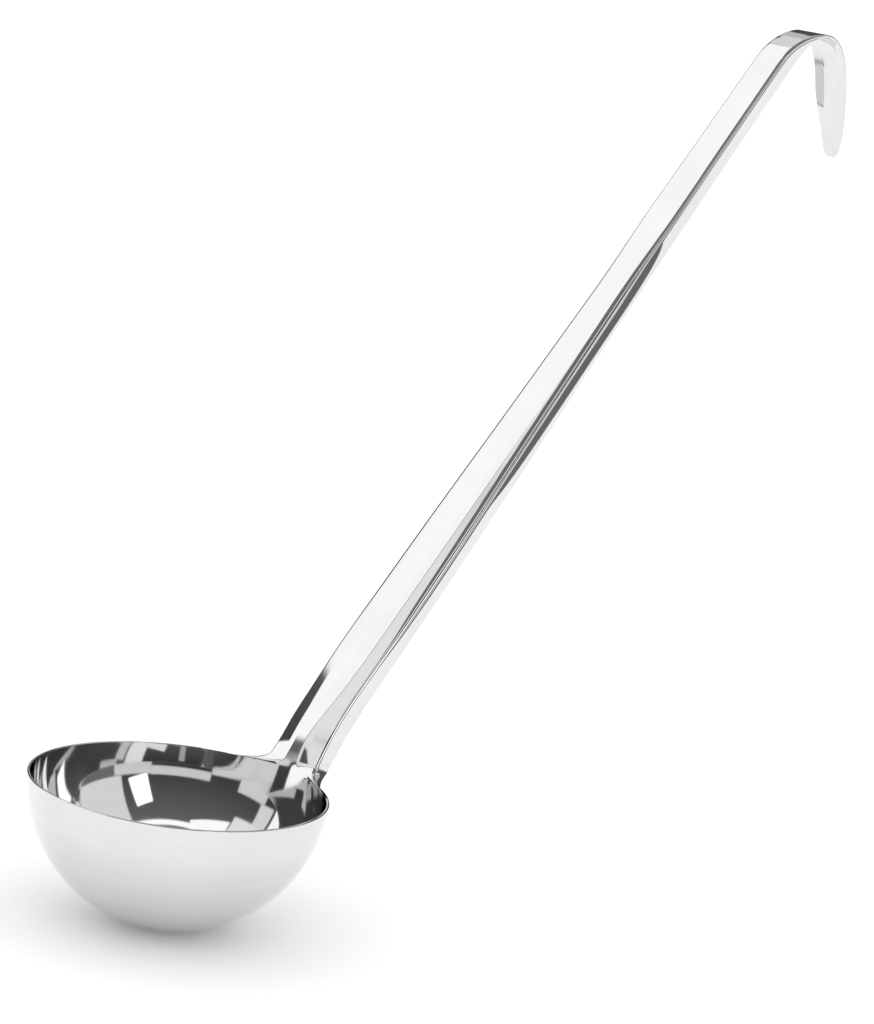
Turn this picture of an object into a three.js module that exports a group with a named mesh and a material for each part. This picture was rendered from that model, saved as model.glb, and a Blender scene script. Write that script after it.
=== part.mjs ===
// Soup ladle of polished stainless sheet: a drawn bowl with a short flared neck, a pressed channel
// handle that rolls over into a hanging hook, and the butt weld that joins the two at the neck.
// Millimetres, +Z up. The origin is the middle of the flat under the bowl. The handle rises towards
// +X, and the XZ plane is the plane of symmetry.
import * as THREE from 'three';

const { clamp, degToRad, lerp, smootherstep } = THREE.MathUtils;

// Sheet and bowl
const SHEET = 1.0;
const BOWL_DIAMETER = 100;        // outside, at the rim
const BOWL_DEPTH = 47.4;          // outside, from the rim down to the flat
const BASE_FLAT_DIAMETER = 14;    // the small flat that the bowl stands on

// Neck, where the wall of the bowl bends over into the handle. Each pair is where a change along the
// handle starts and ends, measured up from the rim.
const NECK_BEND_START = 10;       // how far below the rim the wall starts to bend outwards
const NECK_BEND_LENGTH = 14;      // length of the bend
const NECK_SWEEP = 23.8;          // degrees by which the neck is steeper than the handle after that bend
const NECK_SWEEP_FADE = [2, 40];  // where the sweep dies away, from the start of the bend
const NECK_RIM_ANGLE = 38;        // degrees of rim on each side that run out into the neck
const NECK_ROOT_ANGLE = 19;       // degrees on each side that are left above the corner fillets
const NECK_FILLET_LENGTH = 6;     // length of each corner fillet, up the handle
const NECK_FOLD_LENGTH = 4.4;     // length in which the round wall folds into the channel
const NECK_FLARE = 1.5;           // spread of each flange where it reaches the rim
const NECK_FLARE_LIFT = 1.0;      // how much shallower the flange is there
const NECK_FLARE_FADE = 6;        // length in which the spread dies away
const NECK_WAIST = 0.5;           // how far each side is drawn in above the rim
const WAIST_FADE = [25, 70];

// Handle, a channel that is open underneath: a flat, and on each side a crease, a bevel, a fold and a flange
const HANDLE_RISE = 50.2;         // degrees above the plane of the rim
const SHAFT_LENGTH = 332.7;       // from the start of the neck's bend to the hook
const WIDTH_AT_NECK = 22.6;
const WIDTH_AT_TOP = 13;
const FLAT_WIDTH = 10;            // between the creases
const FLAT_WIDTH_AT_NECK = 6.4;
const FLAT_WIDENS = [0, 50];
const CREASE_RADIUS = 10;
const BEVEL = 7;                  // degrees
const NECK_BEVEL = 10;            // degrees more at the neck
const NECK_BEVEL_FADE = 35;       // length in which they die away
const BEVEL_START = [-6, 16];
const FOLD_RADIUS = 2.7;
const FOLD_RADIUS_AT_NECK = 1.3;
const FOLD_RADIUS_AT_TOP = 1.5;
const FOLD_WIDENS = [30, 85];
const FOLD_NARROWS = [200, 260];
const FLANGE_DEPTH = 6.1;         // below the outer edge of the bevel
const FLANGE_SPLAY = 5;           // degrees off square at the neck
const SPLAY_FADE = [20, 65];
const FLANGE_CURL = 20;           // degrees that the flange curves through, half way up
const CURL_START = [70, 170];
const CURL_FADE = [205, 260];

// Hook, three arcs of strip. Its pairs are measured from where it starts.
const HOOK_WIDTH = 14.3;
const HOOK_FLAT_WIDTH = 5.2;
const HOOK_BEVEL = 20;            // degrees that the sides of the strip are turned in
const HOOK_BEVEL_START = [28, 50];
const HOOK_BEVEL_FADE = [60, 84];
const HOOK_CREST_RADIUS = 32;
const HOOK_CREST_ANGLE = 46;
const HOOK_BEND_RADIUS = 18;
const HOOK_BEND_ANGLE = 76;
const HOOK_DROP_RADIUS = 170;
const HOOK_DROP_LENGTH = 34.5;
const FLANGE_FADE = [-2, 34];     // where the channel opens out into the strip
const TIP_TAPER_LENGTH = 27;
const TIP_TAPER_POWER = 1.5;      // above 1, the taper starts gently
const TIP_WIDTH = 5.4;
const TIP_BLUNTNESS = 0.15;       // share of the tip's width, squared, that is left flat at the end

// Weld
const WELD_HEIGHT = 26;           // up the neck, from the rim to the middle of the seam
const WELD_WIDTH = 2.4;
const WELD_ROOT = 0.5;            // how far the bead stands proud underneath
const WELD_CLEARANCE = 0.3;

// Finish of the steel
const STEEL_COLOUR = 0xd6d6d4;
const WELD_COLOUR = 0xb4b2ae;
const MIRROR_ROUGHNESS = 0.12;
const WELD_ROUGHNESS = 0.4;

// Facets
const STEPS_ACROSS = 24;          // across the neck and the handle
const STEPS_AROUND = 34;          // round the rest of the bowl
const STEPS_UP_WALL = 11;
const STEPS_UP_BEND = 3;
const STEPS_UP_NECK = 12;
const NECK_ROW_POWER = 1.8;       // above 1, the rows are closer together near the rim
const STEPS_ALONG_WELD = 4;
const STEPS_ALONG_SHAFT = 16;
const SHAFT_ROW_POWER = 1.6;      // above 1, the rows are closer together near the neck
const STEPS_ALONG_CREST = 8;
const STEPS_ALONG_HOOK_BEND = 9;
const STEPS_ALONG_DROP = 7;
const STEPS_ALONG_TIP = 4;
const TIP_ROW_POWER = 0.6;        // below 1, the rows are closer together at the end
const PATH_STEP = 0.1;            // spacing of the points that the centreline is worked out at
const SLOPE_STEP = 1e-3;          // small step for taking slopes
const TINY = 1e-6;                // stands for no turn or no length where one is divided by

const rimRadius = BOWL_DIAMETER / 2;
const flatRadius = BASE_FLAT_DIAMETER / 2;
const rise = degToRad(HANDLE_RISE);
const sweep = degToRad(NECK_SWEEP);
const rimAngle = degToRad(NECK_RIM_ANGLE);
const rootAngle = degToRad(NECK_ROOT_ANGLE);

// The bowl is part of a sphere. Heights below are measured from the plane of the rim.
const sphereHeight = (rimRadius ** 2 - flatRadius ** 2 - BOWL_DEPTH ** 2) / (2 * BOWL_DEPTH);
const innerSphere = Math.hypot(rimRadius, sphereHeight) - SHEET;
const innerRim = wallRadius(0);
const innerFloor = SHEET - BOWL_DEPTH;

// Radius of the inside of the bowl at a height
function wallRadius(height) {
  return Math.sqrt(innerSphere ** 2 - (height - sphereHeight) ** 2);
}

// Angle by which the wall leans outwards at a height
function wallLean(height) {
  return Math.asin((sphereHeight - height) / innerSphere);
}

// Centreline of the top face, from where the wall starts to bend to the tip of the hook
const bendLean = wallLean(-NECK_BEND_START);
const bendRadius = wallRadius(-NECK_BEND_START);
const crestLength = HOOK_CREST_RADIUS * degToRad(HOOK_CREST_ANGLE);
const hookBendLength = HOOK_BEND_RADIUS * degToRad(HOOK_BEND_ANGLE);
const pathLength = SHAFT_LENGTH + crestLength + hookBendLength + HOOK_DROP_LENGTH;

// Direction of the centreline, as an angle above the rim plane, at a length from the start of the bend
function directionAt(length) {
  const bend = lerp(Math.PI / 2 - bendLean, rise + sweep, smootherstep(length, 0, NECK_BEND_LENGTH));
  const swept = sweep * smootherstep(length, ...NECK_SWEEP_FADE);
  const intoHook = length - SHAFT_LENGTH;
  const onCrest = clamp(intoHook, 0, crestLength) / HOOK_CREST_RADIUS;
  const onBend = clamp(intoHook - crestLength, 0, hookBendLength) / HOOK_BEND_RADIUS;
  const onDrop = Math.max(intoHook - crestLength - hookBendLength, 0) / HOOK_DROP_RADIUS;
  return bend - swept - onCrest - onBend - onDrop;
}

function makePath() {
  const points = [{ x: bendRadius, z: -NECK_BEND_START }];
  const count = Math.ceil(pathLength / PATH_STEP) + 1;
  for (let i = 0; i < count; i++) {
    const direction = directionAt((i + 0.5) * PATH_STEP);
    const last = points[i];
    points.push({
      x: last.x + PATH_STEP * Math.cos(direction),
      z: last.z + PATH_STEP * Math.sin(direction),
    });
  }
  return points;
}

const path = makePath();
const rimStep = path.findIndex((point) => point.z >= 0);
const rimLength = PATH_STEP * (rimStep - path[rimStep].z / (path[rimStep].z - path[rimStep - 1].z));
const hookStart = SHAFT_LENGTH - rimLength;
const tipEnd = pathLength - rimLength;

// Point and direction of the centreline at a length up from the rim
function centreAt(length) {
  const place = (length + rimLength) / PATH_STEP;
  const i = Math.floor(place);
  return {
    x: lerp(path[i].x, path[i + 1].x, place - i),
    z: lerp(path[i].z, path[i + 1].z, place - i),
    direction: directionAt(length + rimLength),
  };
}

// How far out of the sphere the centreline has moved, at a height below the rim
function bendOffset(height) {
  if (height <= -NECK_BEND_START) return 0;
  const i = path.findIndex((point) => point.z >= height);
  if (i < 1) return 0;
  const share = (height - path[i - 1].z) / (path[i].z - path[i - 1].z);
  return lerp(path[i - 1].x, path[i].x, share) - wallRadius(height);
}

const rimX = centreAt(0).x;

// Share of the bend that a place on the rim takes part in: all at the middle of the neck, none at its corners
function neckShare(angle) {
  return 1 - smootherstep(Math.abs(angle), 0, rimAngle);
}

// Inside of the bowl, by angle round the axis and height
function wallPoint(angle, height) {
  const radius = wallRadius(height);
  const outwards = neckShare(angle) * bendOffset(height);
  return new THREE.Vector3(radius * Math.cos(angle) + outwards, radius * Math.sin(angle), height);
}

// How far the channel has opened out into the strip of the hook
function flattened(length) {
  return smootherstep(length - hookStart, ...FLANGE_FADE);
}

function halfWidth(length) {
  const shaft = lerp(WIDTH_AT_NECK, WIDTH_AT_TOP, smootherstep(length, 0, hookStart + crestLength)) / 2;
  const flare = NECK_FLARE * Math.exp(-length / NECK_FLARE_FADE);
  const waist = NECK_WAIST * (1 - smootherstep(length, ...WAIST_FADE));
  const plain = lerp(shaft + flare - waist, HOOK_WIDTH / 2, flattened(length));
  const left = tipEnd - length;
  const taper = clamp(1 - left / TIP_TAPER_LENGTH, 0, 1) ** TIP_TAPER_POWER;
  const rounding = clamp(1 - left / (TIP_WIDTH / 2), 0, 1);
  return lerp(plain, TIP_WIDTH / 2, taper) * Math.sqrt(1 - (1 - TIP_BLUNTNESS) * rounding ** 2);
}

function bevelTilt(length) {
  const atNeck = NECK_BEVEL * Math.exp(-((length / NECK_BEVEL_FADE) ** 2));
  const onShaft = smootherstep(length, ...BEVEL_START) * (1 - flattened(length));
  const intoHook = length - hookStart;
  const turnedIn = smootherstep(intoHook, ...HOOK_BEVEL_START);
  const turnedBack = smootherstep(intoHook, ...HOOK_BEVEL_FADE);
  return degToRad((BEVEL + atNeck) * onShaft + HOOK_BEVEL * turnedIn * (1 - turnedBack));
}

function foldRadius(length) {
  const lower = lerp(FOLD_RADIUS_AT_NECK, FOLD_RADIUS, smootherstep(length, ...FOLD_WIDENS));
  return lerp(lower, FOLD_RADIUS_AT_TOP, smootherstep(length, ...FOLD_NARROWS));
}

function flangeDepth(length) {
  const lift = NECK_FLARE_LIFT * Math.exp(-length / NECK_FLARE_FADE);
  return FLANGE_DEPTH * (1 - flattened(length)) - lift;
}

// How far across and down a share of an arc goes, when the whole arc is 1 long
function alongArc(tilt, turn, share) {
  const bend = Math.max(turn, TINY);
  const reached = tilt + bend * share;
  return {
    across: (Math.sin(reached) - Math.sin(tilt)) / bend,
    down: (Math.cos(tilt) - Math.cos(reached)) / bend,
  };
}

// Arcs of half the channel's section, from its middle to its cut edge
function sectionAt(length) {
  const bevel = bevelTilt(length);
  const radius = foldRadius(length);
  const depth = flangeDepth(length);
  const splay = degToRad(FLANGE_SPLAY) * (1 - smootherstep(length, ...SPLAY_FADE));
  const curlShare = smootherstep(length, ...CURL_START) * (1 - smootherstep(length, ...CURL_FADE));
  const curl = degToRad(FLANGE_CURL) * curlShare;
  const fullTurn = Math.acos(clamp(Math.cos(bevel) - depth / radius, -1, 1));
  const foldEnd = Math.min(fullTurn, Math.PI / 2 - splay - curl);
  const flangeDrop = Math.max(depth - radius * (Math.cos(bevel) - Math.cos(foldEnd)), 0);
  const flangeArc = alongArc(foldEnd, curl, 1);
  const flange = flangeDrop / Math.max(flangeArc.down, TINY);
  const folded = radius * (Math.sin(foldEnd) - Math.sin(bevel)) + flange * flangeArc.across;
  const room = halfWidth(length) - folded - CREASE_RADIUS * Math.sin(bevel);
  const shaftFlat = lerp(FLAT_WIDTH_AT_NECK, FLAT_WIDTH, smootherstep(length, ...FLAT_WIDENS));
  const crease = lerp(shaftFlat, HOOK_FLAT_WIDTH, flattened(length)) / 2;
  const flat = Math.min(crease - CREASE_RADIUS * Math.tan(bevel / 2), room);
  return [
    { reach: flat, turn: 0 },
    { reach: CREASE_RADIUS * bevel, turn: bevel },
    { reach: (room - flat) / Math.cos(bevel), turn: 0 },
    { reach: radius * (foldEnd - bevel), turn: foldEnd - bevel },
    { reach: flange, turn: curl },
  ];
}

// Place across and down in half the channel, at a share of the way along its section
function channelAt(share, length) {
  const arcs = sectionAt(length);
  const place = { across: 0, down: 0 };
  let left = share * arcs.reduce((total, arc) => total + arc.reach, 0);
  let tilt = 0;
  for (const { reach, turn } of arcs) {
    const done = clamp(left / Math.max(reach, TINY), 0, 1);
    const step = alongArc(tilt, turn, done);
    place.across += reach * step.across;
    place.down += reach * step.down;
    tilt += turn * done;
    left -= reach;
  }
  return place;
}

// Top face of the handle, by place across it (-1 to 1) and length up from the rim
function handlePoint(across, length) {
  const centre = centreAt(length);
  const section = channelAt(Math.abs(across), length);
  return new THREE.Vector3(
    centre.x + section.down * Math.sin(centre.direction),
    Math.sign(across) * section.across,
    centre.z - section.down * Math.cos(centre.direction),
  );
}

// The wall carried on above the rim: its middle follows the centreline and its corners stay on the rim
function risingWallPoint(across, length) {
  const centre = centreAt(length);
  const left = clamp(1 - length / NECK_FILLET_LENGTH, 0, 1);
  const angle = across * lerp(rootAngle, rimAngle, 1 - Math.sqrt(1 - left ** 2));
  const share = neckShare(angle);
  const lean = Math.tan(wallLean(0)) * centre.z;
  const radius = innerRim + share * lean;
  const outwards = share * (rimX - innerRim) + share ** 2 * (centre.x - rimX - lean);
  return new THREE.Vector3(
    radius * Math.cos(angle) + outwards,
    radius * Math.sin(angle),
    share * centre.z,
  );
}

// Top face of the neck: the rising wall folds into the channel
function neckPoint(across, length) {
  const fold = smootherstep(length, 0, NECK_FOLD_LENGTH);
  return risingWallPoint(across, length).lerp(handlePoint(across, length), fold);
}

// Point one thickness below a surface, which is given by a place across it and a height or length up it
function underside(surface, across, up, limits, thickness) {
  const acrossSlope = surface(Math.min(across + SLOPE_STEP, limits.across), up)
    .sub(surface(Math.max(across - SLOPE_STEP, -limits.across), up));
  const upSlope = surface(across, Math.min(up + SLOPE_STEP, limits.end))
    .sub(surface(across, Math.max(up - SLOPE_STEP, limits.start)));
  const normal = upSlope.cross(acrossSlope).normalize();
  return surface(across, up).addScaledVector(normal, -thickness);
}

// Closed solid of sheet: the top side's triangles, the same below, and the cut edge all the way round
function sheetGeometry(top, bottom, triangles) {
  const count = top.length;
  const index = [];
  const uses = new Map();
  const edgeName = (a, b) => `${Math.min(a, b)} ${Math.max(a, b)}`;
  for (const [a, b, c] of triangles) {
    index.push(a, b, c, count + a, count + c, count + b);
    for (const [from, to] of [[a, b], [b, c], [c, a]]) {
      const name = edgeName(from, to);
      uses.set(name, (uses.get(name) ?? 0) + 1);
    }
  }
  for (const [a, b, c] of triangles) {
    for (const [from, to] of [[a, b], [b, c], [c, a]]) {
      if (uses.get(edgeName(from, to)) > 1) continue;
      index.push(to, from, count + from, to, count + from, count + to);
    }
  }
  const geometry = new THREE.BufferGeometry();
  const lifted = [...top, ...bottom].flatMap((point) => [point.x, point.y, point.z + BOWL_DEPTH]);
  geometry.setAttribute('position', new THREE.Float32BufferAttribute(lifted, 3));
  geometry.setIndex(index);
  geometry.computeVertexNormals();
  return geometry;
}

// Two triangles for the cell between a row of points and the row above it
function cell(lowLeft, lowRight, highLeft, highRight) {
  return [[lowRight, lowLeft, highLeft], [lowRight, highLeft, highRight]];
}

// Values from a start to an end, both included
function steps(from, to, count, power = 1) {
  return Array.from({ length: count + 1 }, (_, i) => lerp(from, to, (i / count) ** power));
}

// Several runs of values in one list, each starting where the run before it ended
function joinRuns(...runs) {
  return runs.flatMap((run, i) => (i === 0 ? run : run.slice(1)));
}

const acrossSteps = steps(-1, 1, STEPS_ACROSS);

// Strip of sheet whose top side is the handle's top face, with a row of points at each length
function stripGeometry(lengths, thicknessAt) {
  const limits = { across: 1, start: lengths[0], end: lengths.at(-1) };
  const top = [];
  const bottom = [];
  const triangles = [];
  for (const length of lengths) {
    for (const across of acrossSteps) {
      top.push(handlePoint(across, length));
      bottom.push(underside(handlePoint, across, length, limits, thicknessAt(length)));
    }
  }
  const columns = acrossSteps.length;
  for (let row = 0; row + 1 < lengths.length; row++) {
    for (let column = 0; column + 1 < columns; column++) {
      const low = row * columns + column;
      const high = low + columns;
      triangles.push(...cell(low, low + 1, high, high + 1));
    }
  }
  return sheetGeometry(top, bottom, triangles);
}

// Bowl and neck in one sheet: the flat, rings up to the rim, then the neck's rows on part of the rim
function bowlGeometry() {
  const neckAngles = acrossSteps.map((across) => across * rimAngle);
  const restAngles = steps(rimAngle, 2 * Math.PI - rimAngle, STEPS_AROUND).slice(1, -1);
  const angles = [...neckAngles, ...restAngles];
  const leans = steps(wallLean(innerFloor), bendLean, STEPS_UP_WALL);
  const wallHeights = leans.map((lean) => sphereHeight - innerSphere * Math.sin(lean));
  const heights = joinRuns(wallHeights, steps(-NECK_BEND_START, 0, STEPS_UP_BEND));
  const wallLimits = { across: 2 * Math.PI, start: innerFloor, end: 0 };

  const top = [new THREE.Vector3(0, 0, innerFloor)];
  const bottom = [new THREE.Vector3(0, 0, -BOWL_DEPTH)];
  const triangles = [];
  for (const angle of angles) {
    top.push(wallPoint(angle, innerFloor));
    bottom.push(new THREE.Vector3(flatRadius * Math.cos(angle), flatRadius * Math.sin(angle), -BOWL_DEPTH));
  }
  for (const height of heights.slice(1)) {
    for (const angle of angles) {
      top.push(wallPoint(angle, height));
      bottom.push(underside(wallPoint, angle, height, wallLimits, SHEET));
    }
  }
  const around = angles.length;
  const onRing = (ring, column) => 1 + ring * around + (column % around);
  for (let column = 0; column < around; column++) {
    triangles.push([0, onRing(0, column), onRing(0, column + 1)]);
    for (let ring = 0; ring + 1 < heights.length; ring++) {
      triangles.push(...cell(
        onRing(ring, column),
        onRing(ring, column + 1),
        onRing(ring + 1, column),
        onRing(ring + 1, column + 1),
      ));
    }
  }

  const neckEnd = WELD_HEIGHT - WELD_WIDTH / 2 - WELD_CLEARANCE;
  const neckLengths = steps(0, neckEnd, STEPS_UP_NECK, NECK_ROW_POWER).slice(1);
  const neckLimits = { across: 1, start: 0, end: neckEnd };
  let lowRow = acrossSteps.map((_, column) => onRing(heights.length - 1, column));
  for (const length of neckLengths) {
    const highRow = acrossSteps.map((_, column) => top.length + column);
    for (const across of acrossSteps) {
      top.push(neckPoint(across, length));
      bottom.push(underside(neckPoint, across, length, neckLimits, SHEET));
    }
    for (let i = 0; i + 1 < lowRow.length; i++) {
      triangles.push(...cell(lowRow[i], lowRow[i + 1], highRow[i], highRow[i + 1]));
    }
    lowRow = highRow;
  }
  return sheetGeometry(top, bottom, triangles);
}

// Channel and hook in one strip, with more rows where it bends, flattens out and tapers
function handleGeometry() {
  const start = WELD_HEIGHT + WELD_WIDTH / 2 + WELD_CLEARANCE;
  const hookRows = hookStart + FLANGE_FADE[0];
  const crestEnd = hookStart + crestLength;
  const bendEnd = crestEnd + hookBendLength;
  const tipStart = tipEnd - TIP_WIDTH / 2;
  const lengths = joinRuns(
    steps(start, hookRows, STEPS_ALONG_SHAFT, SHAFT_ROW_POWER),
    steps(hookRows, crestEnd, STEPS_ALONG_CREST),
    steps(crestEnd, bendEnd, STEPS_ALONG_HOOK_BEND),
    steps(bendEnd, tipStart, STEPS_ALONG_DROP),
    steps(tipStart, tipEnd, STEPS_ALONG_TIP, TIP_ROW_POWER),
  );
  return stripGeometry(lengths, () => SHEET);
}

// Weld bead across the seam: flush on top, rounded and slightly proud underneath
function weldGeometry() {
  const lengths = steps(WELD_HEIGHT - WELD_WIDTH / 2, WELD_HEIGHT + WELD_WIDTH / 2, STEPS_ALONG_WELD);
  const offCentre = (length) => (length - WELD_HEIGHT) / (WELD_WIDTH / 2);
  return stripGeometry(lengths, (length) => SHEET + WELD_ROOT * (1 - offCentre(length) ** 2));
}

function steelMesh(name, geometry, colour, roughness) {
  const material = new THREE.MeshStandardMaterial({ color: colour, roughness, metalness: 1 });
  const mesh = new THREE.Mesh(geometry, material);
  mesh.name = name;
  return mesh;
}

const ladle = new THREE.Group();
ladle.name = 'soup_ladle';
ladle.add(steelMesh('bowl', bowlGeometry(), STEEL_COLOUR, MIRROR_ROUGHNESS));
ladle.add(steelMesh('handle', handleGeometry(), STEEL_COLOUR, MIRROR_ROUGHNESS));
ladle.add(steelMesh('neck_weld', weldGeometry(), WELD_COLOUR, WELD_ROUGHNESS));

export default ladle;
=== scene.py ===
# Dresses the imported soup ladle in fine, mirror-polished sheet and puts it in a small white studio.
import math

import bpy
import numpy as np
from mathutils import Matrix, Vector


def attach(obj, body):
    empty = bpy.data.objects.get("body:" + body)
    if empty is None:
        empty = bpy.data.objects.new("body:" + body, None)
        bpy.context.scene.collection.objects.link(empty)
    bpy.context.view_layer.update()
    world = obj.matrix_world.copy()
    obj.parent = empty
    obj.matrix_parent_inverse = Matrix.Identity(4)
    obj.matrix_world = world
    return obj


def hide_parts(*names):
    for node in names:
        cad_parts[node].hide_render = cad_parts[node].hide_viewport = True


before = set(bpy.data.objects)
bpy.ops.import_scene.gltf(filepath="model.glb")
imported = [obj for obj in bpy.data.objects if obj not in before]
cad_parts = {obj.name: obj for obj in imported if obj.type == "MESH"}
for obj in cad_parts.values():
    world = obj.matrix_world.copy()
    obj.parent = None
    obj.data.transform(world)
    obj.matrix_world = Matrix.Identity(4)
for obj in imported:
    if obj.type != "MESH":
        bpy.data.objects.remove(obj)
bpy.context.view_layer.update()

MM = 0.001

# Sheet and bowl, in millimetres as in the part's source
SHEET = 1.0
BOWL_DIAMETER = 100
BOWL_DEPTH = 47.4
BASE_FLAT_DIAMETER = 14

# Neck
NECK_BEND_START = 10
NECK_BEND_LENGTH = 14
NECK_SWEEP = math.radians(23.8)
NECK_SWEEP_FADE = (2, 40)
NECK_RIM_ANGLE = math.radians(38)
NECK_ROOT_ANGLE = math.radians(19)
NECK_FILLET_LENGTH = 6
NECK_FOLD_LENGTH = 4.4
NECK_FLARE = 1.5
NECK_FLARE_LIFT = 1
NECK_FLARE_FADE = 6
NECK_WAIST = 0.5
WAIST_FADE = (25, 70)

# Handle, whose channel is made of a flat, a crease, a bevel, a fold and a flange on each side
HANDLE_RISE = math.radians(50.2)
SHAFT_LENGTH = 332.7
WIDTH_AT_NECK = 22.6
WIDTH_AT_TOP = 13
FLAT_WIDTH = 10
FLAT_WIDTH_AT_NECK = 6.4
FLAT_WIDENS = (0, 50)
CREASE_RADIUS = 10
BEVEL = math.radians(7)
NECK_BEVEL = math.radians(10)
NECK_BEVEL_FADE = 35
BEVEL_START = (-6, 16)
FOLD_RADIUS = 2.7
FOLD_RADIUS_AT_NECK = 1.3
FOLD_RADIUS_AT_TOP = 1.5
FOLD_WIDENS = (30, 85)
FOLD_NARROWS = (200, 260)
FLANGE_DEPTH = 6.1
FLANGE_SPLAY = math.radians(5)
SPLAY_FADE = (20, 65)
FLANGE_CURL = math.radians(20)
CURL_START = (70, 170)
CURL_FADE = (205, 260)

# Hook
HOOK_WIDTH = 14.3
HOOK_FLAT_WIDTH = 5.2
HOOK_BEVEL = math.radians(20)
HOOK_BEVEL_START = (28, 50)
HOOK_BEVEL_FADE = (60, 84)
HOOK_CREST_RADIUS = 32
HOOK_CREST_ANGLE = math.radians(46)
HOOK_BEND_RADIUS = 18
HOOK_BEND_ANGLE = math.radians(76)
HOOK_DROP_RADIUS = 170
HOOK_DROP_LENGTH = 34.5
FLANGE_FADE = (-2, 34)
TIP_TAPER_LENGTH = 27
TIP_TAPER_POWER = 1.5
TIP_WIDTH = 5.4
TIP_BLUNTNESS = 0.15

# Weld seam across the neck
WELD_HEIGHT = 26
WELD_WIDTH = 2.4
WELD_ROOT = 0.5

# Rounding of the cut edges, as a share of half the thickness
EDGE_ROUNDING = 0.6
EDGE_STEPS = 6

# Photograph, in pixels, and where its camera stood
PHOTO_WIDTH = 874
PHOTO_HEIGHT = 1024
FOCAL_LENGTH_PIXELS = 3647
RIM_CENTRE_PIXEL = (178.9, 785.3)
CAMERA_DISTANCE = 1200
CAMERA_ELEVATION = math.radians(11.14)
CAMERA_ROLL = math.radians(8.01)
HANDLE_AZIMUTH = math.radians(48.23)
SENSOR_SIZE = 36
CAMERA_REACH = 20                 # in metres

RIM_RADIUS = BOWL_DIAMETER / 2
FLAT_RADIUS = BASE_FLAT_DIAMETER / 2
SPHERE_HEIGHT = (RIM_RADIUS**2 - FLAT_RADIUS**2 - BOWL_DEPTH**2) / (2 * BOWL_DEPTH)
INNER_SPHERE = math.hypot(RIM_RADIUS, SPHERE_HEIGHT) - SHEET
INNER_FLOOR = SHEET - BOWL_DEPTH
SLOPE_STEP = 1e-3
TINY = 1e-6


def smoother(value, low, high):
    """Goes from 0 at low to 1 at high with no corner and no jump in curvature."""
    x = np.clip((value - low) / (high - low), 0, 1)
    return x**3 * (x * (6 * x - 15) + 10)


def mix(first, second, share):
    return first + (second - first) * share


def wall_radius(height):
    """Inside radius of the bowl at a height above the rim plane."""
    return np.sqrt(INNER_SPHERE**2 - (height - SPHERE_HEIGHT) ** 2)


def wall_lean(height):
    return np.arcsin((SPHERE_HEIGHT - height) / INNER_SPHERE)


INNER_RIM = wall_radius(0)
BEND_LEAN = wall_lean(-NECK_BEND_START)
BEND_RADIUS = wall_radius(-NECK_BEND_START)
CREST_LENGTH = HOOK_CREST_RADIUS * HOOK_CREST_ANGLE
HOOK_BEND_LENGTH = HOOK_BEND_RADIUS * HOOK_BEND_ANGLE
PATH_LENGTH = SHAFT_LENGTH + CREST_LENGTH + HOOK_BEND_LENGTH + HOOK_DROP_LENGTH

# Spacing of the points that the centreline is worked out at, and the length in which it passes the rim
PATH_STEP = 0.05
RIM_SEARCH_LENGTH = 40


def direction_at(length):
    """Slope of the top face's centreline, at a length from where the wall starts to bend."""
    into_hook = length - SHAFT_LENGTH
    on_crest = np.clip(into_hook, 0, CREST_LENGTH) / HOOK_CREST_RADIUS
    on_bend = np.clip(into_hook - CREST_LENGTH, 0, HOOK_BEND_LENGTH) / HOOK_BEND_RADIUS
    on_drop = np.maximum(into_hook - CREST_LENGTH - HOOK_BEND_LENGTH, 0) / HOOK_DROP_RADIUS
    bend = mix(math.pi / 2 - BEND_LEAN, HANDLE_RISE + NECK_SWEEP, smoother(length, 0, NECK_BEND_LENGTH))
    sweep = NECK_SWEEP * smoother(length, *NECK_SWEEP_FADE)
    return bend - sweep - on_crest - on_bend - on_drop


path_lengths = np.arange(0, PATH_LENGTH + 2 * PATH_STEP, PATH_STEP)
path_slopes = direction_at(path_lengths[:-1] + PATH_STEP / 2)
path_x = BEND_RADIUS + np.concatenate([[0], np.cumsum(np.cos(path_slopes))]) * PATH_STEP
path_z = -NECK_BEND_START + np.concatenate([[0], np.cumsum(np.sin(path_slopes))]) * PATH_STEP
rising = slice(0, int(RIM_SEARCH_LENGTH / PATH_STEP))
RIM_LENGTH = float(np.interp(0, path_z[rising], path_lengths[rising]))
HOOK_START = SHAFT_LENGTH - RIM_LENGTH
TIP_END = PATH_LENGTH - RIM_LENGTH


def centre_at(length):
    """Point (x, z) and slope of the centreline at a length up from the rim."""
    from_bend = length + RIM_LENGTH
    x = np.interp(from_bend, path_lengths, path_x)
    z = np.interp(from_bend, path_lengths, path_z)
    return x, z, direction_at(from_bend)


RIM_X = centre_at(0.0)[0]


def neck_share(angle):
    """How much a place on the rim takes part in the neck's bend: 1 in its middle, 0 at its corners."""
    return 1 - smoother(np.abs(angle), 0, NECK_RIM_ANGLE)


def wall_point(angle, height):
    """Inside of the bowl, by angle round the axis and height above the rim plane."""
    radius = wall_radius(height)
    bent = np.interp(height, path_z[rising], path_x[rising]) - radius
    outwards = neck_share(angle) * np.where(height > -NECK_BEND_START, bent, 0)
    return np.stack([radius * np.cos(angle) + outwards, radius * np.sin(angle), height], -1)


def flattened(length):
    """How far the channel has opened out into the flat strip of the hook."""
    return smoother(length - HOOK_START, *FLANGE_FADE)


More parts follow.
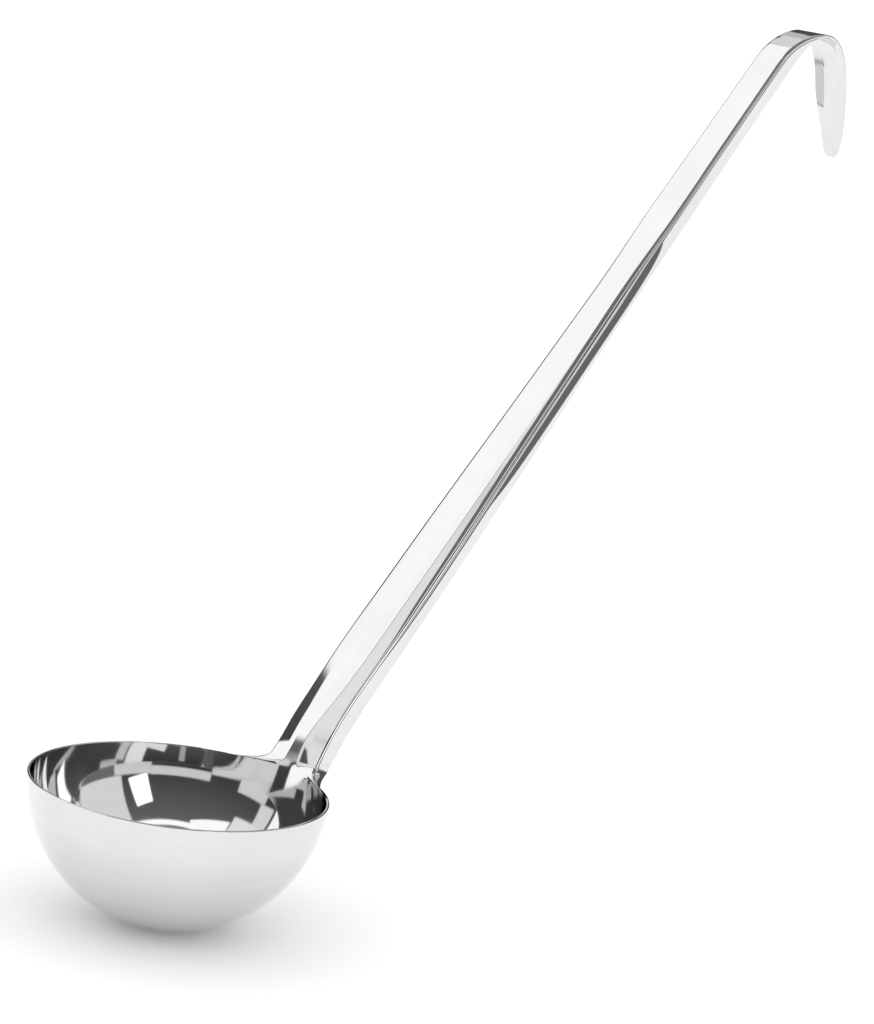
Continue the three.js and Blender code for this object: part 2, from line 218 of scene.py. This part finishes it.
def half_width(length):
    shaft = mix(WIDTH_AT_NECK, WIDTH_AT_TOP, smoother(length, 0, HOOK_START + CREST_LENGTH)) / 2
    flare = NECK_FLARE * np.exp(-length / NECK_FLARE_FADE)
    waist = NECK_WAIST * (1 - smoother(length, *WAIST_FADE))
    plain = mix(shaft + flare - waist, HOOK_WIDTH / 2, flattened(length))
    left = TIP_END - length
    taper = np.clip(1 - left / TIP_TAPER_LENGTH, 0, 1) ** TIP_TAPER_POWER
    rounding = np.clip(1 - left / (TIP_WIDTH / 2), 0, 1)
    return mix(plain, TIP_WIDTH / 2, taper) * np.sqrt(1 - (1 - TIP_BLUNTNESS) * rounding**2)


def bevel_tilt(length):
    at_neck = NECK_BEVEL * np.exp(-((length / NECK_BEVEL_FADE) ** 2))
    on_shaft = smoother(length, *BEVEL_START) * (1 - flattened(length))
    into_hook = length - HOOK_START
    in_hook = smoother(into_hook, *HOOK_BEVEL_START) * (1 - smoother(into_hook, *HOOK_BEVEL_FADE))
    return (BEVEL + at_neck) * on_shaft + HOOK_BEVEL * in_hook


def fold_radius(length):
    lower = mix(FOLD_RADIUS_AT_NECK, FOLD_RADIUS, smoother(length, *FOLD_WIDENS))
    return mix(lower, FOLD_RADIUS_AT_TOP, smoother(length, *FOLD_NARROWS))


def flange_depth(length):
    """How far the flange hangs below the outer edge of the bevel."""
    lift = NECK_FLARE_LIFT * np.exp(-length / NECK_FLARE_FADE)
    return FLANGE_DEPTH * (1 - flattened(length)) - lift


def along_arc(tilt, turn, share):
    """How far across and down a share of an arc goes, when the whole arc is 1 long."""
    turn = np.maximum(turn, TINY)
    reached = tilt + turn * share
    return (np.sin(reached) - np.sin(tilt)) / turn, (np.cos(tilt) - np.cos(reached)) / turn


def section_at(length):
    """Arcs of half the channel, from its middle to its cut edge: the length and the turn of each."""
    bevel = bevel_tilt(length)
    radius = fold_radius(length)
    depth = flange_depth(length)
    splay = FLANGE_SPLAY * (1 - smoother(length, *SPLAY_FADE))
    curl = FLANGE_CURL * smoother(length, *CURL_START) * (1 - smoother(length, *CURL_FADE))
    full_turn = np.arccos(np.clip(np.cos(bevel) - depth / radius, -1, 1))
    fold_end = np.minimum(full_turn, math.pi / 2 - splay - curl)
    flange_drop = np.maximum(depth - radius * (np.cos(bevel) - np.cos(fold_end)), 0)
    flange_across, flange_down = along_arc(fold_end, curl, 1)
    flange = flange_drop / np.maximum(flange_down, TINY)
    folded = radius * (np.sin(fold_end) - np.sin(bevel)) + flange * flange_across
    room = half_width(length) - folded - CREASE_RADIUS * np.sin(bevel)
    shaft_flat = mix(FLAT_WIDTH_AT_NECK, FLAT_WIDTH, smoother(length, *FLAT_WIDENS))
    crease = mix(shaft_flat, HOOK_FLAT_WIDTH, flattened(length)) / 2
    flat = np.minimum(crease - CREASE_RADIUS * np.tan(bevel / 2), room)
    sloping = (room - flat) / np.cos(bevel)
    return (
        (flat, 0),
        (CREASE_RADIUS * bevel, bevel),
        (sloping, 0),
        (radius * (fold_end - bevel), fold_end - bevel),
        (flange, curl),
    )


def channel_at(share, length):
    """Place across and down in half the channel, at a share of the way along its section."""
    arcs = section_at(length)
    left = share * sum(reach for reach, _ in arcs)
    across, down, tilt = 0, 0, 0
    for reach, turn in arcs:
        done = np.clip(left / np.maximum(reach, TINY), 0, 1)
        arc_across, arc_down = along_arc(tilt, turn, done)
        across = across + reach * arc_across
        down = down + reach * arc_down
        tilt = tilt + turn * done
        left = left - reach
    return across, down


def handle_point(across, length):
    """Top face of the handle, by place across it (-1 to 1) and length up from the rim."""
    x, z, slope = centre_at(length)
    aside, down = channel_at(np.abs(across), length)
    return np.stack([x + down * np.sin(slope), np.sign(across) * aside, z - down * np.cos(slope)], -1)


def rising_wall_point(across, length):
    """The wall carried on above the rim: its middle follows the centreline, its corners stay on the rim."""
    x, z, _ = centre_at(length)
    left = np.clip(1 - length / NECK_FILLET_LENGTH, 0, 1)
    angle = across * mix(NECK_ROOT_ANGLE, NECK_RIM_ANGLE, 1 - np.sqrt(1 - left**2))
    share = neck_share(angle)
    lean = math.tan(wall_lean(0))
    radius = INNER_RIM + lean * share * z
    outwards = share * (RIM_X - INNER_RIM) + share**2 * (x - RIM_X - lean * z)
    return np.stack([radius * np.cos(angle) + outwards, radius * np.sin(angle), share * z], -1)


def neck_point(across, length):
    """Top face of the neck: the rising wall folds into the channel."""
    fold = smoother(length, 0, NECK_FOLD_LENGTH)[..., None]
    return mix(rising_wall_point(across, length), handle_point(across, length), fold)


def unit(vectors):
    return vectors / np.linalg.norm(vectors, axis=-1, keepdims=True)


def normals_of(surface, across, up, across_limit, low, high):
    """Normals of a surface on its top side, by small steps that stay inside its limits."""
    aside = surface(np.minimum(across + SLOPE_STEP, across_limit), up)
    aside = aside - surface(np.maximum(across - SLOPE_STEP, -across_limit), up)
    upwards = surface(across, np.minimum(up + SLOPE_STEP, high))
    upwards = upwards - surface(across, np.maximum(up - SLOPE_STEP, low))
    return unit(np.cross(upwards, aside))


class Sheet:
    """One piece of sheet: vertices with their normals in millimetres, and faces that point outwards."""

    def __init__(self):
        self.points = []
        self.normals = []
        self.faces = []
        self.count = 0

    def add(self, points, normals):
        """Adds a block of vertices and returns their numbers in the same layout."""
        numbers = self.count + np.arange(points[..., 0].size).reshape(points.shape[:-1])
        self.points.append(points.reshape(-1, 3))
        self.normals.append(normals.reshape(-1, 3))
        self.count += numbers.size
        return numbers

    def add_sides(self, points, normals, thickness):
        """Adds the top side and, one thickness below, the bottom side."""
        below = points - normals * thickness
        return self.add(points, normals), self.add(below, -normals)

    def polygons(self, *corners):
        self.faces.extend(np.stack(corners, -1).reshape(-1, len(corners)).tolist())

    def skin(self, top, bottom):
        """Faces of both sides of a grid whose rows run upwards and whose columns run across."""
        self.polygons(top[:-1, 1:], top[:-1, :-1], top[1:, :-1], top[1:, 1:])
        self.polygons(bottom[:-1, :-1], bottom[:-1, 1:], bottom[1:, 1:], bottom[1:, :-1])

    def round_edge(self, top, bottom):
        """Rounded cut edge along a line of vertices that has the sheet on its left, seen from above."""
        points = np.concatenate(self.points)
        upper = points[top]
        lower = points[bottom]
        normal = unit(upper - lower)
        outwards = unit(np.cross(np.gradient(upper, axis=0), normal))
        middle = (upper + lower) / 2
        half = np.linalg.norm(upper - lower, axis=-1, keepdims=True) / 2
        rows = [top]
        for turn in np.linspace(0, math.pi, EDGE_STEPS + 1)[1:-1]:
            place = middle + half * (math.cos(turn) * normal + EDGE_ROUNDING * math.sin(turn) * outwards)
            facing = unit(EDGE_ROUNDING * math.cos(turn) * normal + math.sin(turn) * outwards)
            rows.append(self.add(place, facing))
        rows.append(bottom)
        for upper_row, lower_row in zip(rows, rows[1:]):
            self.polygons(upper_row[:-1], lower_row[:-1], lower_row[1:], upper_row[1:])
        return np.stack(rows)

    def close_end(self, top, bottom, first_edge, last_edge, facing_up):
        """Flat end of a strip, between its two rounded edges."""
        cells = [top[1:], top[:-1], bottom[:-1], bottom[1:]]
        caps = [first_edge, last_edge[::-1]]
        if not facing_up:
            cells.reverse()
            caps = [cap[::-1] for cap in caps]
        self.polygons(*cells)
        self.faces.extend(cap.tolist() for cap in caps)

    def make(self, name, material):
        """Blender object of this sheet, in metres and with the bowl's flat on the floor."""
        points = (np.concatenate(self.points) + [0, 0, BOWL_DEPTH]) * MM
        mesh = bpy.data.meshes.new(name)
        mesh.from_pydata(points.tolist(), [], self.faces)
        mesh.polygons.foreach_set("use_smooth", np.ones(len(mesh.polygons), bool))
        mesh.normals_split_custom_set_from_vertices(np.concatenate(self.normals).tolist())
        mesh.materials.append(material)
        piece = bpy.data.objects.new(name, mesh)
        bpy.context.scene.collection.objects.link(piece)
        return piece


# How finely the sheets are divided
COLUMNS_ACROSS = 129
ANGLES_AROUND = 200
FLAT_RINGS = (0.3, 0.6, 0.85)     # as shares of the flat's radius
ROWS_UP_WALL = 70
ROWS_UP_BEND = 20
ROWS_UP_NECK = 70
NECK_ROW_POWER = 2                # above 1, the rows are closer together near the rim
ROWS_ALONG_WELD = 13
LOWER_SHAFT_END = 80              # length up from the rim below which the shaft has closer rows
ROWS_UP_LOWER_SHAFT = 50
ROWS_UP_SHAFT = 90
ROWS_ALONG_HOOK = 150
ROWS_ALONG_TIP = 24
TIP_ROW_POWER = 0.6               # below 1, the rows are closer together at the end

ACROSS = np.linspace(-1, 1, COLUMNS_ACROSS)


def strip(lengths, thickness):
    """Strip of the handle between two lengths, closed at both ends."""
    sheet = Sheet()
    across, up = np.meshgrid(ACROSS, lengths)
    points = handle_point(across, up)
    normals = normals_of(handle_point, across, up, 1, lengths[0], lengths[-1])
    top, bottom = sheet.add_sides(points, normals, thickness)
    sheet.skin(top, bottom)
    right = sheet.round_edge(top[::-1, -1], bottom[::-1, -1])
    left = sheet.round_edge(top[:, 0], bottom[:, 0])
    sheet.close_end(top[-1], bottom[-1], left[:, -1], right[:, 0], True)
    sheet.close_end(top[0], bottom[0], left[:, 0], right[:, -1], False)
    return sheet


def bowl_sheet():
    """Flat, wall and neck of the bowl in one sheet."""
    sheet = Sheet()
    neck_angles = ACROSS * NECK_RIM_ANGLE
    other_angles = np.linspace(NECK_RIM_ANGLE, 2 * math.pi - NECK_RIM_ANGLE, ANGLES_AROUND + 1)[1:-1]
    angles = np.concatenate([neck_angles, other_angles])

    # Wall and flat, as rings from the middle of the flat up to the rim
    leans = np.linspace(wall_lean(INNER_FLOOR), BEND_LEAN, ROWS_UP_WALL)
    wall_heights = SPHERE_HEIGHT - INNER_SPHERE * np.sin(leans)
    bend_heights = np.linspace(-NECK_BEND_START, 0, ROWS_UP_BEND)[1:]
    around, heights = np.meshgrid(angles, np.concatenate([wall_heights, bend_heights]))
    wall = wall_point(around, heights)
    wall_normals = normals_of(wall_point, around, heights, 2 * math.pi, INNER_FLOOR, 0)
    wall_below = wall - wall_normals * SHEET
    flat_edge = np.stack([np.cos(angles), np.sin(angles), np.zeros(len(angles))], -1)
    wall_below[0] = flat_edge * FLAT_RADIUS - [0, 0, BOWL_DEPTH]
    wall_normals[0] = unit(wall_normals[0] + [0, 0, 1])
    ring_shares = np.array(FLAT_RINGS)[:, None, None]
    ring_normals = np.broadcast_to([0.0, 0.0, 1.0], (len(FLAT_RINGS), len(angles), 3))
    floor = mix(np.array([0, 0, INNER_FLOOR]), wall[0], ring_shares)
    floor_below = mix(np.array([0, 0, -BOWL_DEPTH]), wall_below[0], ring_shares)
    normals = np.concatenate([ring_normals, wall_normals])
    top = sheet.add(np.concatenate([floor, wall]), normals)
    bottom = sheet.add(np.concatenate([floor_below, wall_below]), -normals)
    closed_top = np.concatenate([top, top[:, :1]], 1)
    closed_bottom = np.concatenate([bottom, bottom[:, :1]], 1)
    sheet.skin(closed_top, closed_bottom)
    upwards = np.array([[0.0, 0.0, 1.0]])
    top_centre = sheet.add(np.array([[0, 0, INNER_FLOOR]]), upwards)
    bottom_centre = sheet.add(np.array([[0, 0, -BOWL_DEPTH]]), -upwards)
    centres = np.full(len(angles), top_centre[0])
    sheet.polygons(centres, closed_top[0, :-1], closed_top[0, 1:])
    centres = np.full(len(angles), bottom_centre[0])
    sheet.polygons(centres, closed_bottom[0, 1:], closed_bottom[0, :-1])

    # Neck, whose first row is the rim's own vertices
    neck_end = WELD_HEIGHT - WELD_WIDTH / 2
    lengths = neck_end * np.linspace(0, 1, ROWS_UP_NECK)[1:] ** NECK_ROW_POWER
    across, up = np.meshgrid(ACROSS, lengths)
    points = neck_point(across, up)
    normals = normals_of(neck_point, across, up, 1, 0, neck_end)
    neck_top, neck_bottom = sheet.add_sides(points, normals, SHEET)
    neck_top = np.concatenate([top[-1:, :COLUMNS_ACROSS], neck_top])
    neck_bottom = np.concatenate([bottom[-1:, :COLUMNS_ACROSS], neck_bottom])
    sheet.skin(neck_top, neck_bottom)

    # Cut edge: down one side of the neck, round the rim and up the other side
    edges = []
    for rim, neck in ((top[-1], neck_top), (bottom[-1], neck_bottom)):
        edges.append(np.concatenate([neck[:0:-1, -1], rim[COLUMNS_ACROSS - 1 :], rim[:1], neck[1:, 0]]))
    edge = sheet.round_edge(*edges)
    sheet.close_end(neck_top[-1], neck_bottom[-1], edge[:, -1], edge[:, 0], True)
    return sheet


def handle_sheet():
    """Channel and hook of the handle, with closer rows where the shape changes faster."""
    start = WELD_HEIGHT + WELD_WIDTH / 2
    hook_start = HOOK_START + FLANGE_FADE[0]
    tip_start = TIP_END - TIP_WIDTH
    lengths = np.concatenate(
        [
            np.linspace(start, LOWER_SHAFT_END, ROWS_UP_LOWER_SHAFT)[:-1],
            np.linspace(LOWER_SHAFT_END, hook_start, ROWS_UP_SHAFT)[:-1],
            np.linspace(hook_start, tip_start, ROWS_ALONG_HOOK)[:-1],
            tip_start + TIP_WIDTH * np.linspace(0, 1, ROWS_ALONG_TIP) ** TIP_ROW_POWER,
        ]
    )
    return strip(lengths, SHEET)


def weld_sheet():
    """Bead between the neck and the handle, flush on top and proud underneath."""
    lengths = np.linspace(WELD_HEIGHT - WELD_WIDTH / 2, WELD_HEIGHT + WELD_WIDTH / 2, ROWS_ALONG_WELD)
    off_centre = (lengths - WELD_HEIGHT) / (WELD_WIDTH / 2)
    bead = SHEET + WELD_ROOT * (1 - off_centre**2) ** 2
    return strip(lengths, bead[:, None, None])


def node(tree, kind, **inputs):
    """New node with its inputs set by name, with underscores for spaces."""
    made = tree.nodes.new(kind)
    for name, value in inputs.items():
        made.inputs[name.replace("_", " ")].default_value = value
    return made


def link(tree, source, target):
    tree.links.new(source, target)


def maths(tree, operation, first, second=None):
    """Math node on sockets or plain numbers; returns its output."""
    made = tree.nodes.new("ShaderNodeMath")
    made.operation = operation
    for slot, value in zip(made.inputs, (first, second)):
        if isinstance(value, bpy.types.NodeSocket):
            link(tree, value, slot)
        elif value is not None:
            slot.default_value = value
    return made.outputs[0]


def ranged(tree, value, low, high):
    """Spreads a value between 0 and 1 over another range."""
    made = node(tree, "ShaderNodeMapRange", To_Min=low, To_Max=high)
    link(tree, value, made.inputs["Value"])
    return made.outputs["Result"]


def noise(tree, place, scale, detail):
    made = node(tree, "ShaderNodeTexNoise", Scale=scale, Detail=detail)
    link(tree, place, made.inputs["Vector"])
    return made.outputs["Fac"]


def bumped(tree, height, distance, below=None):
    """Bump of a height in metres, on top of another bump's normal if there is one."""
    made = node(tree, "ShaderNodeBump", Distance=distance)
    link(tree, height, made.inputs["Height"])
    if below is not None:
        link(tree, below, made.inputs["Normal"])
    return made.outputs["Normal"]


# Grain of the steel. Each noise has a scale and a detail: smudges and waves are counted per metre, and
# lines and streaks in the stretched space of each piece. The heights are in metres.
SMUDGES = (45, 4)
WAVES = (55, 0)
LINES = (1, 3)
STREAKS = (0.25, 2)
WAVE_HEIGHT = 1.6e-5
LINE_HEIGHT = 1.2e-6


def steel(name, dark, light, roughness, lean, stretch):
    """Polished steel with smudges, slight waves, and fine lines that run where the stretch is small."""
    material = bpy.data.materials.new(name)
    material.use_nodes = True
    tree = material.node_tree
    shader = tree.nodes["Principled BSDF"]
    place = tree.nodes.new("ShaderNodeTexCoord").outputs["Object"]
    turned = node(tree, "ShaderNodeVectorRotate", Angle=lean)
    turned.rotation_type = "Y_AXIS"
    link(tree, place, turned.inputs["Vector"])
    stretched = node(tree, "ShaderNodeMapping", Scale=stretch)
    link(tree, turned.outputs[0], stretched.inputs["Vector"])
    lines = noise(tree, stretched.outputs[0], *LINES)
    streaks = noise(tree, stretched.outputs[0], *STREAKS)
    smudges = noise(tree, place, *SMUDGES)
    waves = noise(tree, place, *WAVES)
    tones = node(tree, "ShaderNodeValToRGB")
    tones.color_ramp.elements[0].color = dark
    tones.color_ramp.elements[1].color = light
    blend = maths(tree, "MULTIPLY", maths(tree, "ADD", smudges, streaks), 0.5)
    link(tree, blend, tones.inputs["Fac"])
    worn = maths(tree, "MULTIPLY", lines, smudges)
    link(tree, ranged(tree, worn, *roughness), shader.inputs["Roughness"])
    link(tree, tones.outputs["Color"], shader.inputs["Base Color"])
    normal = bumped(tree, lines, LINE_HEIGHT, bumped(tree, waves, WAVE_HEIGHT))
    link(tree, normal, shader.inputs["Normal"])
    shader.inputs["Metallic"].default_value = 1
    return material


# Tones, ranges of roughness, and stretches that lay the lines round the bowl, along the handle or the weld
STEEL_DARK = (0.65, 0.65, 0.655, 1)
STEEL_LIGHT = (0.83, 0.83, 0.835, 1)
WELD_DARK = (0.63, 0.63, 0.63, 1)
WELD_LIGHT = (0.83, 0.83, 0.83, 1)
POLISHED = (0.02, 0.16)
GROUND = (0.04, 0.2)
AROUND_BOWL = (14, 14, 900)
ALONG_HANDLE = (14, 900, 900)
ALONG_WELD = (900, 40, 900)

bowl_steel = steel("bowl_steel", STEEL_DARK, STEEL_LIGHT, POLISHED, 0, AROUND_BOWL)
handle_steel = steel("handle_steel", STEEL_DARK, STEEL_LIGHT, POLISHED, HANDLE_RISE, ALONG_HANDLE)
weld_steel = steel("weld_steel", WELD_DARK, WELD_LIGHT, GROUND, HANDLE_RISE, ALONG_WELD)
bowl = bowl_sheet().make("ladle_bowl", bowl_steel)
handle = handle_sheet().make("ladle_handle", handle_steel)
weld = weld_sheet().make("ladle_neck_weld", weld_steel)
for piece, node_name, slot_name in (
    (bowl, "bowl", "polished_steel"),
    (handle, "handle", "polished_steel"),
    (weld, "neck_weld", "weld_steel"),
):
    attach(piece, "root")
    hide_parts(node_name)


def make_camera():
    """Camera of the photograph, from where the rim's centre is in it."""
    flat_right = Vector((math.cos(HANDLE_AZIMUTH), -math.sin(HANDLE_AZIMUTH), 0))
    flat_forward = Vector((math.sin(HANDLE_AZIMUTH), math.cos(HANDLE_AZIMUTH), 0))
    down = Vector((0, 0, -math.sin(CAMERA_ELEVATION)))
    forward = flat_forward * math.cos(CAMERA_ELEVATION) + down
    level_up = flat_right.cross(forward)
    right = flat_right * math.cos(CAMERA_ROLL) + level_up * math.sin(CAMERA_ROLL)
    up = right.cross(forward)
    pixel = CAMERA_DISTANCE / FOCAL_LENGTH_PIXELS
    aside = (RIM_CENTRE_PIXEL[0] - PHOTO_WIDTH / 2) * pixel
    below = (RIM_CENTRE_PIXEL[1] - PHOTO_HEIGHT / 2) * pixel
    rim_centre = Vector((0, 0, BOWL_DEPTH))
    place = rim_centre - forward * CAMERA_DISTANCE - right * aside + up * below
    data = bpy.data.cameras.new("photo_camera")
    data.sensor_width = SENSOR_SIZE
    data.lens = FOCAL_LENGTH_PIXELS * SENSOR_SIZE / PHOTO_HEIGHT
    data.clip_end = CAMERA_REACH
    camera = bpy.data.objects.new("photo_camera", data)
    axes = Matrix((right, up, -forward)).transposed()
    camera.matrix_world = Matrix.Translation(place * MM) @ axes.to_4x4()
    bpy.context.scene.collection.objects.link(camera)
    bpy.context.scene.camera = camera


make_camera()

# Surroundings that the steel mirrors, each as angles in degrees, a strength and a turn in degrees. The
# first two angles run to the right of the camera, seen from the ladle, and the next two run up from the
# horizon. The dark room behind them is a little lighter towards the ceiling.
WHITE = (1, 1, 1, 1)
DOME_STRENGTH = 0.8
ROOM_STRENGTH = 0.035
ROOM_RISE = 0.0025                # per degree above the horizon
SOFTBOX_EDGE = 1                  # degrees of softness on each side of an edge
SOFTBOXES = (
    ("left window", -116, -88.6, 3, 32, 1.25, 8.5),
    ("left window top", -150, -92.9, 28, 63, 1.25, 8.5),
    ("left window edge", -86.6, -72, 13, 34, 0.85, 8.5),
    ("ceiling edge", -96, -88, 51, 56, 1.05, 0),
    ("left ceiling low", -88.4, -55, 28.5, 45, 0.95, 8.5),
    ("left ceiling", -90.2, -56, 40, 54, 1.0, 8.5),
    ("left ceiling front", -55, -14, 41, 50.5, 1.3, 14),
    ("front ceiling edge", -22, 50, 48.5, 53, 1.35, 0),
    ("front ceiling", -42, 30, 53, 75, 0.18, 0),
    ("overhead", -120, 30, 62, 91, 0.2, 0),
    ("strip light", 28, 44, 14, 36, 2.0, 12),
    ("right window", 52, 97, 13, 47, 0.85, 0),
    ("right wall", 27, 58, 3, 13, 0.75, 0),
    ("right low wall", 56, 105, -1, 13, 0.17, 0),
    ("right back window", 98, 150, 34, 50, 0.7, 0),
    ("right back wall", 90, 135, 8, 11.5, 1.0, 0),
    ("front wall", -21, 28, 6.5, 13.5, 0.75, 0),
    ("left low wall", -72, -21, 1, 8, 0.78, 0),
    ("left wall", -74, -46, 7, 14.5, 0.78, 0),
    ("left back wall", -160, -131, 41, 62, 0.85, 0),
    ("far back wall", -174, -158, 36, 62, 0.85, 0),
    ("back wall end", -181, -171, 12, 62, 0.6, 0),
    ("back wall", 150, 181, 45, 62, 0.95, 0),
)


def turned_sum(tree, main, other, turn):
    """One of a pair of angles after both are turned by some degrees."""
    if turn == 0:
        return main
    angle = math.radians(turn)
    kept = maths(tree, "MULTIPLY", main, math.cos(angle))
    return maths(tree, "ADD", kept, maths(tree, "MULTIPLY", other, math.sin(angle)))


def inside(tree, value, size):
    """1 within half a size of zero and 0 beyond it, with a soft edge."""
    half = size / 2
    made = node(tree, "ShaderNodeMapRange", From_Min=half + SOFTBOX_EDGE, From_Max=half - SOFTBOX_EDGE)
    made.interpolation_type = "SMOOTHSTEP"
    link(tree, maths(tree, "ABSOLUTE", value), made.inputs["Value"])
    return made.outputs["Result"]


def make_world():
    """Dark room with soft lights for the steel, an even dome for the floor and white for the camera."""
    world = bpy.data.worlds.new("studio")
    world.use_nodes = True
    bpy.context.scene.world = world
    tree = world.node_tree
    tree.nodes.clear()
    direction = tree.nodes.new("ShaderNodeTexCoord").outputs["Generated"]
    turned = tree.nodes.new("ShaderNodeVectorRotate")
    turned.rotation_type = "Z_AXIS"
    turned.inputs["Angle"].default_value = HANDLE_AZIMUTH
    link(tree, direction, turned.inputs["Vector"])
    parts = tree.nodes.new("ShaderNodeSeparateXYZ")
    link(tree, turned.outputs[0], parts.inputs[0])
    towards = maths(tree, "MULTIPLY", parts.outputs["Y"], -1)
    across = maths(tree, "DEGREES", maths(tree, "ARCTAN2", parts.outputs["X"], towards))
    upwards = maths(tree, "DEGREES", maths(tree, "ARCSINE", parts.outputs["Z"]))
    rise = maths(tree, "MULTIPLY", maths(tree, "MAXIMUM", upwards, 0), ROOM_RISE)
    light = maths(tree, "ADD", rise, ROOM_STRENGTH)
    for _, left, right, low, high, strength, turn in SOFTBOXES:
        aside = maths(tree, "SUBTRACT", across, (left + right) / 2)
        above = maths(tree, "SUBTRACT", upwards, (low + high) / 2)
        wide = turned_sum(tree, aside, above, turn)
        tall = turned_sum(tree, above, aside, -turn)
        mask = maths(tree, "MULTIPLY", inside(tree, wide, right - left), inside(tree, tall, high - low))
        light = maths(tree, "MAXIMUM", maths(tree, "MULTIPLY", mask, strength), light)
    ray = tree.nodes.new("ShaderNodeLightPath")
    evened = node(tree, "ShaderNodeMix", B=DOME_STRENGTH)
    link(tree, ray.outputs["Is Diffuse Ray"], evened.inputs["Factor"])
    link(tree, light, evened.inputs["A"])
    room = node(tree, "ShaderNodeBackground", Color=WHITE)
    link(tree, evened.outputs["Result"], room.inputs["Strength"])
    white = node(tree, "ShaderNodeBackground", Color=WHITE)
    choice = tree.nodes.new("ShaderNodeMixShader")
    link(tree, ray.outputs["Is Camera Ray"], choice.inputs["Fac"])
    link(tree, room.outputs[0], choice.inputs[1])
    link(tree, white.outputs[0], choice.inputs[2])
    output = tree.nodes.new("ShaderNodeOutputWorld")
    link(tree, choice.outputs[0], output.inputs["Surface"])


FLOOR_SIZE = 30                   # in metres
FLOOR_COLOUR = (0.95, 0.95, 0.95, 1)
FLOOR_WHITENING = 0.12            # share of plain white in what the camera and the steel see of it


def floor_material():
    """White paper, partly whitened for the camera and in the steel so that its shadow stays pale."""
    material = bpy.data.materials.new("floor_paper")
    material.use_nodes = True
    tree = material.node_tree
    tree.nodes.clear()
    paper = node(tree, "ShaderNodeBsdfDiffuse", Color=FLOOR_COLOUR)
    white = node(tree, "ShaderNodeEmission", Color=WHITE, Strength=1)
    ray = tree.nodes.new("ShaderNodeLightPath")
    mirrored = maths(tree, "MAXIMUM", ray.outputs["Is Glossy Ray"], ray.outputs["Is Transmission Ray"])
    seen = maths(tree, "MAXIMUM", ray.outputs["Is Camera Ray"], mirrored)
    choice = tree.nodes.new("ShaderNodeMixShader")
    link(tree, maths(tree, "MULTIPLY", seen, FLOOR_WHITENING), choice.inputs["Fac"])
    link(tree, paper.outputs[0], choice.inputs[1])
    link(tree, white.outputs[0], choice.inputs[2])
    output = tree.nodes.new("ShaderNodeOutputMaterial")
    link(tree, choice.outputs[0], output.inputs["Surface"])
    return material


def make_floor():
    """Wide sheet of paper that the bowl stands on."""
    mesh = bpy.data.meshes.new("floor")
    half = FLOOR_SIZE / 2
    corners = [(-half, -half, 0), (half, -half, 0), (half, half, 0), (-half, half, 0)]
    mesh.from_pydata(corners, [], [(0, 1, 2, 3)])
    mesh.materials.append(floor_material())
    floor = bpy.data.objects.new("floor", mesh)
    bpy.context.scene.collection.objects.link(floor)


KEY_STRENGTH = 1.2
KEY_SPREAD = math.radians(120)


def make_key_light():
    """Broad light from above for the floor, which the steel does not mirror."""
    data = bpy.data.lights.new("overhead", "SUN")
    data.energy = KEY_STRENGTH
    data.angle = KEY_SPREAD
    lamp = bpy.data.objects.new("overhead", data)
    lamp.visible_glossy = False
    bpy.context.scene.collection.objects.link(lamp)


make_world()
make_floor()
make_key_light()

bpy.context.scene.view_settings.view_transform = "Standard"
